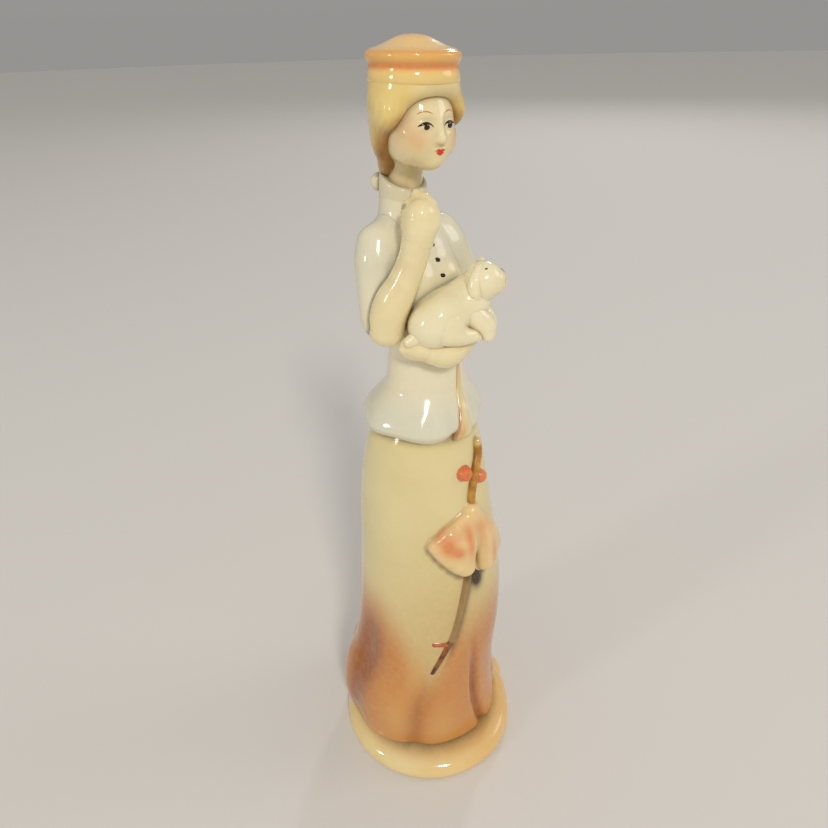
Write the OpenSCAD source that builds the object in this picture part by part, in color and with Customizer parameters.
// Slip-cast porcelain lady with a small dog and a closed parasol, on a round plinth.
// She faces -Y, her right hand is at -X, and +Z is up. The origin is the middle of the foot ring.
// Every casting and every pressed sprig is its own solid; each one is cut to sit face to face
// on the castings that carry it, as the clay pieces are before they are luted with slip.

/* [Plinth] */
// Radius of the round plinth
plinth_r = 41.5; // [40.5:0.5:44]
// Thickness of the plinth
plinth_h = 8.5; // [7.5:0.5:8.5]
// Inner radius of the flat foot ring that the figure stands on
foot_ring_r = 31; // [29:0.5:34]
// Height of the recess inside the foot ring
foot_recess = 1.5; // [1:0.25:2.5]
// Radius of the vent hole that lets the kiln air out
vent_r = 5; // [3:0.5:8]
// Outer radius of the locating ring that centres the skirt
spigot_r = 24; // [20:0.5:25]
// Height of the locating ring
spigot_h = 3; // [2:0.5:5]

/* [Casting] */
// Wall of the hollow slip-cast pieces
wall = 3.2; // [2.5:0.1:4]
// Direction in which the hem of the skirt is widest, in degrees about +Z
hem_turn = -35; // [-45:1:-25]

/* [Jacket] */
// Radius of each jacket button
button_r = 0.85; // [0.6:0.05:1.2]
// Number of jacket buttons
button_count = 6; // [4:1:8]

/* [Hat] */
// Radius of the hat at its rim
hat_r = 13.25; // [12.5:0.25:14]
// Radius of the hat at the waist of its band
hat_waist_r = 12.9; // [12:0.1:13.1]
// Height of the hat band
hat_band_h = 6.3; // [5.5:0.1:7.5]
// Height of the crown above the band
hat_crown_h = 4.7; // [3.5:0.1:6]

/* [Parasol] */
// Radius of the parasol handle
handle_r = 1.7; // [1.3:0.1:2]
// Radius of each pom-pom
pompom_r = 3.1; // [2.4:0.1:3.5]
// Number of gathered lobes on the canopy
canopy_lobes = 5; // [3:2:7]

/* [Hidden] */

// Facets round a lofted ring, and round a modelled limb
ring_fn = 36;
limb_fn = 16;
// Thickness of the slices that a loft is stretched between
slice = 0.02;

// Glaze colours
cream = [0.96, 0.90, 0.74];
skirt_yellow = [0.95, 0.88, 0.66];
jacket_blue = [0.86, 0.89, 0.90];
coral = [0.95, 0.55, 0.38];
peach = [0.95, 0.70, 0.45];
blonde = [0.92, 0.78, 0.45];
dog_white = [0.97, 0.94, 0.86];
gold_brown = [0.72, 0.48, 0.18];
dark_brown = [0.20, 0.08, 0.04];

// Heights of the seats between castings
waist_z = 176;
passage_r = 8;
passage_h = 4;
neck_z = 246;
hat_z = 290 - hat_crown_h - hat_band_h;
rim_z = hat_z + hat_band_h;

// Middle of the head, and of the hat that sits on it
head_x = -1;
head_y = 1;

// Lofted castings: each ring is [z, x, y, half width, half depth]
skirt_rings = [
    [plinth_h, -3, 2, 35.5, 30.5], [13, -3.5, 2.5, 36.5, 31.5], [30, -4, 3, 35.3, 32],
    [39, -3.6, 2.8, 34.4, 31.5], [55, -1, 0.8, 31.5, 29.8], [72, 0.4, -0.2, 30.4, 29],
    [94, 1, -0.8, 29.2, 27.5], [114, 0.6, -0.5, 27.3, 25.5], [133, -0.2, 0, 25.3, 23.5],
    [151, -0.5, 0.4, 22.8, 21], [162, -0.3, 0.3, 20.5, 18.8], [170, 0.2, 0, 17.5, 15.6],
    [waist_z, 0.5, 0, 13.5, 11.5]
];
torso_rings = [
    [waist_z, 0.5, 0, 13.5, 11.5], [184, 0.6, 0, 12, 10.2], [193, 0.9, 0, 11.3, 9.6],
    [203, 0, 0.5, 12.4, 10.2], [214, -0.6, 1.2, 14, 11], [224, -1, 2.6, 15.6, 10.8],
    [231, -1.2, 3.8, 16.4, 9], [236, -1.3, 4.8, 13.5, 7.8], [240, -1.4, 5.6, 9.6, 7.4],
    [neck_z, -1.5, 6.6, 7.6, 7.4]
];
peplum_rings = [
    [166.5, -0.8, 0.6, 20.6, 19.4], [168.2, -0.8, 0.6, 22, 20.8], [170.5, -0.9, 0.6, 22.4, 21.2],
    [174, -1, 0.6, 21.8, 20.4], [178, -0.8, 0.4, 19.8, 18], [182.6, -0.2, 0.2, 16.4, 14.6],
    [187, 0.4, 0, 13.6, 11.8], [191, 0.6, 0, 11.9, 10.2]
];

// Modelled limbs: each ball is [x, y, z, radius]
right_arm_balls = [[-15.8, 3.8, 231.5, 6], [-17.2, 1.6, 220, 5.9], [-17.6, -1, 208, 5.9]];
right_forearm_balls = [
    [-16.6, -3.6, 207.2, 6.2], [-14.4, -7.4, 217, 5.7], [-12.2, -10.2, 228, 5], [-10.4, -11.8, 237.5, 4.5]
];
right_palm_balls = [[-10.4, -11.8, 238, 4.5], [-9.2, -12, 243.5, 4.9], [-7.6, -11, 247, 3.6]];
left_arm_balls = [[13.6, 4.6, 231, 5.8], [17, 2, 222, 5.6], [18.6, -3, 213.5, 5.6]];
left_forearm_balls = [[18, -6.4, 211.5, 5.2], [10, -14, 206.5, 5], [0, -16.6, 205, 5], [-7, -15.6, 205, 4.6]];
left_palm_balls = [[-7, -15.6, 205, 4.4], [-11.4, -13.2, 205.2, 3.8]];

// Fingertip positions, in order from the first finger
right_fingers = [[-5.2, -11.4, 249.2], [-5.4, -13.6, 247], [-6, -15, 244.6], [-7, -15.4, 242]];
left_fingers = [[-14.6, -11.4, 206.8], [-15, -11, 205], [-14.6, -11.2, 203.2]];

dog_trunk_balls = [[-6, -15.2, 212.5, 7.6], [0, -15, 214.5, 7.6], [6, -15.5, 217, 6.6], [9, -16.5, 220.5, 5.6]];
dog_skull_balls = [[10.4, -18, 224.6, 6.6], [13, -19.6, 224.2, 4.8], [16, -21.4, 223.4, 3]];

// Heights and directions of the parasol along the skirt, measured from her front towards her left
handle_path = [[162, 26, 1.4], [156, 20, 1.2], [149, 13, 1], [139, 5, 0.8]];
pompom_places = [[155.5, 4], [150.5, 28]];
shaft_path = [[112, 0, 1], [98, -8.5, 0.6], [86, -16, 0.4], [77, -25, 0.3]];
tip_path = [[77, -25, 0.5], [68, -28, 0.4], [59, -31, 0.2]];
canopy_top = [139, 5];
canopy_bottom_z = 114;
canopy_spread = 58;
canopy_tilt = 6;

// The rings of a casting's hollow: the same rings drawn in by the wall
function hollow_rings(rings) = [for (r = rings) [r[0], r[1], r[2], r[3] - wall, r[4] - wall]];

// One value of a casting's rings at any height: x, y, half width or half depth
function at_height(rings, z, k) = lookup(z, [for (r = rings) [r[0], r[k]]]);

// Radius of an ellipse with its long half axis turned to the angle turn, along the direction angle
function ellipse_r(long_r, short_r, turn, angle) =
    1 / sqrt(pow(cos(angle - turn) / long_r, 2) + pow(sin(angle - turn) / short_r, 2));

// A point over the skirt: turned from her front (-Y) towards her left, at height z, raised by lift
function on_skirt(angle, z, lift = 0) =
    let (dir = angle - 90,
         r = ellipse_r(at_height(skirt_rings, z, 3), at_height(skirt_rings, z, 4), hem_turn, dir) + lift)
    [at_height(skirt_rings, z, 1) + r * cos(dir), at_height(skirt_rings, z, 2) + r * sin(dir), z];

// A point over the front of the jacket at height z
function on_chest(z, lift = 0) =
    [at_height(torso_rings, z, 1), at_height(torso_rings, z, 2) - at_height(torso_rings, z, 4) - lift, z];

// An elliptical slice of a loft
module ring_slice(ring, turn) {
    translate([ring[1], ring[2], ring[0]])
        rotate([0, 0, turn])
            scale([ring[3], ring[4], 1])
                cylinder(r = 1, h = slice, $fn = ring_fn);
}

// A solid stretched through a row of rings
module loft(rings, turn = 0) {
    for (i = [0 : len(rings) - 2])
        hull() {
            ring_slice(rings[i], turn);
            translate([0, 0, -slice]) ring_slice(rings[i + 1], turn);
        }
}

// A ball of a limb
module ball(b) {
    translate([b[0], b[1], b[2]]) sphere(r = b[3], $fn = limb_fn);
}

// A solid stretched through a row of balls
module limb(balls) {
    for (i = [0 : len(balls) - 2])
        hull() {
            ball(balls[i]);
            ball(balls[i + 1]);
        }
}

// The full outer volume of each casting, before its neighbours are cut away from it

module skirt_form() {
    loft(skirt_rings, hem_turn);
}

module torso_form() {
    loft(torso_rings);
}

// The open joint between the hollow of the skirt and the hollow of the jacket
module waist_passage() {
    translate([0, 0, waist_z - passage_h / 2])
        cylinder(r = passage_r, h = passage_h, $fn = ring_fn);
}

module peplum_form() {
    loft(peplum_rings);
}

module placket_form() {
    limb([[3.6, -9, 191, 0.9], [3.4, -12.4, 184, 1.3], [2.6, -18, 175.5, 2], [1.8, -20, 169.4, 2.4]]);
}

module collar_form() {
    intersection() {
        translate([-1.5, 6.6, neck_z])
            cylinder(r1 = 7.9, r2 = 7.3, h = 14, $fn = ring_fn);
        translate([-1.5, 6.6, 252.4])
            rotate([24, 0, 0])
                translate([0, 0, -20])
                    cube([30, 30, 40], center = true);
    }
}

module neck_form() {
    hull() {
        translate([-1.5, 6.4, neck_z]) cylinder(r = 5.6, h = slice, $fn = ring_fn);
        ball([-1.2, 3.6, 262, 5.2]);
    }
}

module head_form() {
    intersection() {
        union() {
            neck_form();
            hull() {
                ball([head_x, head_y, 270, 10.6]);
                ball([head_x, head_y - 2, 264, 8.6]);
                ball([head_x, head_y - 7, 260.3, 4]);
            }
            hull() {
                ball([head_x, head_y - 10.2, 269, 1]);
                ball([head_x, head_y - 12.6, 264.4, 1.1]);
            }
        }
        translate([-30, -30, neck_z]) cube([60, 60, hat_z - neck_z]);
    }
}

module hair_form() {
    intersection() {
        union() {
            hull() {
                ball([head_x, head_y + 0.4, 271.5, 13.3]);
                ball([head_x, head_y + 2.6, 264, 11]);
            }
            for (side = [-1, 1])
                hull() {
                    ball([head_x + side * 9.6, head_y - 3.4, 272, 4.2]);
                    ball([head_x + side * 9, head_y + 3, 265, 4.4]);
                }
        }
        translate([-30, -30, 250]) cube([60, 60, hat_z - 250]);
    }
}

module face_window() {
    hull() {
        ball([head_x, -13, 265, 8.8]);
        ball([head_x, -13, 255, 10.4]);
        ball([head_x, 2, 254, 9.6]);
    }
}

module ponytail_form() {
    limb([[head_x, 8, 268, 7], [head_x, 10.6, 260, 5.6], [head_x - 0.3, 12.4, 253, 3.9],
          [head_x - 0.5, 12.8, 247, 2.6], [head_x - 0.5, 12.6, 242, 1.6]]);
}

module right_sleeve_form() {
    limb(right_arm_balls);
}

module right_forearm_form() {
    limb(right_forearm_balls);
}

module right_hand_form() {
    limb(right_palm_balls);
    for (tip = right_fingers)
        hull() {
            ball([-9, -13, 243.6, 3]);
            translate(tip) sphere(r = 1.9, $fn = limb_fn);
        }
}

module left_sleeve_form() {
    limb(left_arm_balls);
}

module left_forearm_form() {
    limb(left_forearm_balls);
}

module left_hand_form() {
    limb(left_palm_balls);
    for (tip = left_fingers)
        hull() {
            ball([-10.8, -13.4, 205, 2.4]);
            translate(tip) sphere(r = 1.3, $fn = limb_fn);
        }
}

module arms_form() {
    right_sleeve_form();
    right_forearm_form();
    right_hand_form();
    left_sleeve_form();
    left_forearm_form();
    left_hand_form();
}

module dog_body_form() {
    limb(dog_trunk_balls);
}

module dog_head_form() {
    limb(dog_skull_balls);
}

module dog_hind_leg_form() {
    limb([[-6.5, -20, 213.5, 4.8], [-3, -21.5, 210, 3.4], [1.5, -21.8, 208.8, 2.4]]);
}

module dog_front_paws_form() {
    limb([[2, -20, 216, 3.6], [8, -21.6, 212.6, 3], [12.5, -21.4, 211.5, 2.6]]);
    limb([[6, -17.5, 214.5, 3.4], [12, -18.6, 213, 2.9], [16, -18.2, 213.2, 2.5]]);
}

module parasol_limb(path, r) {
    for (i = [0 : len(path) - 2])
        hull()
            for (p = [path[i], path[i + 1]])
                translate(on_skirt(p[1], p[0], p[2]))
                    sphere(r = r, $fn = limb_fn);
}

module handle_form() {
    parasol_limb(handle_path, handle_r);
}

module canopy_form() {
    for (i = [0 : canopy_lobes - 1])
        let (share = i / (canopy_lobes - 1) - 0.5)
        hull() {
            translate(on_skirt(canopy_top[1], canopy_top[0], 0.8)) sphere(r = 2, $fn = limb_fn);
            translate(on_skirt(2 + share * canopy_spread * 0.8, 125 - share * canopy_tilt, 0.8))
                sphere(r = 3.4, $fn = limb_fn);
            translate(on_skirt(2 + share * canopy_spread, canopy_bottom_z + 22 * pow(share, 2) - share * canopy_tilt, 0.3))
                sphere(r = 2.9, $fn = limb_fn);
        }
}

module shaft_form() {
    parasol_limb(shaft_path, 1.9);
}

// The castings and sprigs themselves

module base_plinth() {
    edge_r = plinth_h / 2;
    color(cream)
        rotate_extrude($fn = 96)
            difference() {
                union() {
                    translate([vent_r, 0]) square([plinth_r - edge_r - vent_r, plinth_h]);
                    translate([plinth_r - edge_r, edge_r]) circle(r = edge_r, $fn = 48);
                    translate([spigot_r - wall, plinth_h - 1]) square([wall, spigot_h + 1]);
                }
                translate([0, -1]) square([foot_ring_r, foot_recess + 1]);
            }
}

module skirt() {
    color(skirt_yellow)
        difference() {
            skirt_form();
            loft(hollow_rings(skirt_rings), hem_turn);
            translate([0, 0, -slice]) ring_slice(hollow_rings(skirt_rings)[0], hem_turn);
            waist_passage();
        }
}

module jacket_body() {
    color(jacket_blue)
        difference() {
            torso_form();
            loft([for (r = hollow_rings(torso_rings)) if (r[0] < 238) r]);
            waist_passage();
        }
}

module jacket_peplum() {
    color(jacket_blue)
        difference() {
            peplum_form();
            skirt_form();
            torso_form();
            placket_form();
        }
}

module jacket_placket() {
    color(peach)
        difference() {
            placket_form();
            torso_form();
            skirt_form();
        }
}

module jacket_buttons() {
    top_z = 245;
    pitch = 3.9;
    color(dark_brown)
        difference() {
            for (i = [0 : button_count - 1])
                translate(on_chest(top_z - i * pitch))
                    sphere(r = button_r, $fn = limb_fn);
            torso_form();
            arms_form();
            dog_body_form();
            collar_form();
        }
}

module collar() {
    color(cream)
        difference() {
            collar_form();
            neck_form();
        }
}

module nape_bow() {
    color(cream)
        difference() {
            for (side = [-1, 1])
                limb([[-1.5, 14.6, 250.5, 1.6], [-1.5 + side * 5, 13.6, 251, 2.1]]);
            collar_form();
            torso_form();
            ponytail_form();
        }
}

module head() {
    color(cream)
        head_form();
}

module hair() {
    color(blonde)
        difference() {
            hair_form();
            head_form();
            face_window();
            collar_form();
            ponytail_form();
        }
}

module ponytail() {
    color(blonde)
        difference() {
            ponytail_form();
            head_form();
            collar_form();
            torso_form();
        }
}

module hat_band() {
    inner_r = hat_waist_r - wall;
    color(peach)
        translate([head_x, head_y, hat_z])
            rotate_extrude($fn = 72)
                polygon([[inner_r, 0], [hat_waist_r, 0], [hat_waist_r + 0.1, 1], [hat_waist_r, hat_band_h / 2],
                         [hat_r, hat_band_h - 0.8], [hat_r, hat_band_h], [inner_r, hat_band_h]]);
}

module hat_crown() {
    color(coral)
        translate([head_x, head_y, rim_z])
            rotate_extrude($fn = 72)
                polygon([[0, 0], [hat_r, 0], [hat_r - 0.5, 0.6],
                         for (t = [0 : 0.1 : 1]) [(hat_r - 1.4) * (1 - t), hat_crown_h * (0.2 + 0.8 * pow(sin(90 * t), 1.4))]]);
}

module right_sleeve() {
    color(jacket_blue)
        difference() {
            right_sleeve_form();
            torso_form();
            right_forearm_form();
        }
}

module right_forearm() {
    color(cream)
        difference() {
            right_forearm_form();
            torso_form();
        }
}

module right_hand() {
    color(cream)
        difference() {
            right_hand_form();
            right_forearm_form();
            torso_form();
            collar_form();
            head_form();
        }
}

module left_sleeve() {
    color(jacket_blue)
        difference() {
            left_sleeve_form();
            torso_form();
            left_forearm_form();
        }
}

module left_forearm() {
    color(cream)
        difference() {
            left_forearm_form();
            torso_form();
        }
}

module left_hand() {
    color(cream)
        difference() {
            left_hand_form();
            left_forearm_form();
            torso_form();
            right_forearm_form();
            right_sleeve_form();
        }
}

module dog_body() {
    color(dog_white)
        difference() {
            dog_body_form();
            torso_form();
            arms_form();
        }
}

module dog_head() {
    color(dog_white)
        difference() {
            dog_head_form();
            dog_body_form();
            torso_form();
            left_sleeve_form();
        }
}

module dog_ears() {
    color(dog_white)
        difference() {
            union() {
                limb([[7.6, -22.6, 228, 1.8], [6.4, -23.6, 224.6, 2.2], [6.6, -23.2, 221.6, 1.6]]);
                limb([[10.6, -13.6, 229, 1.8], [11.4, -11.4, 226.4, 2.2], [12, -11.2, 223.4, 1.6]]);
            }
            dog_head_form();
            dog_body_form();
            torso_form();
            arms_form();
        }
}

module dog_front_paws() {
    color(dog_white)
        difference() {
            dog_front_paws_form();
            dog_body_form();
            dog_head_form();
            arms_form();
            torso_form();
        }
}

module dog_hind_leg() {
    color(dog_white)
        difference() {
            dog_hind_leg_form();
            dog_body_form();
            arms_form();
            dog_front_paws_form();
        }
}

module dog_tail() {
    color(dog_white)
        difference() {
            limb([[-11.6, -16.6, 211, 2.6], [-13, -18.4, 207.4, 2.2], [-10, -20.6, 205.4, 1.8]]);
            dog_body_form();
            arms_form();
            dog_hind_leg_form();
            torso_form();
        }
}

module parasol_handle() {
    color(gold_brown)
        difference() {
            handle_form();
            skirt_form();
            peplum_form();
        }
}

module parasol_pompoms() {
    color(coral)
        difference() {
            for (place = pompom_places)
                translate(on_skirt(place[1], place[0], 0.2))
                    sphere(r = pompom_r, $fn = 20);
            skirt_form();
            handle_form();
        }
}

module parasol_canopy() {
    color(coral)
        difference() {
            canopy_form();
            skirt_form();
            handle_form();
        }
}

module parasol_shaft() {
    color(skirt_yellow)
        difference() {
            shaft_form();
            skirt_form();
            canopy_form();
        }
}

module parasol_tip() {
    color(dark_brown)
        difference() {
            parasol_limb(tip_path, 1.5);
            skirt_form();
            shaft_form();
        }
}

base_plinth();
skirt();
jacket_body();
jacket_peplum();
jacket_placket();
jacket_buttons();
collar();
nape_bow();
head();
hair();
ponytail();
hat_band();
hat_crown();
right_sleeve();
right_forearm();
right_hand();
left_sleeve();
left_forearm();
left_hand();
dog_body();
dog_head();
dog_ears();
dog_front_paws();
dog_hind_leg();
dog_tail();
parasol_handle();
parasol_pompoms();
parasol_canopy();
parasol_shaft();
parasol_tip();
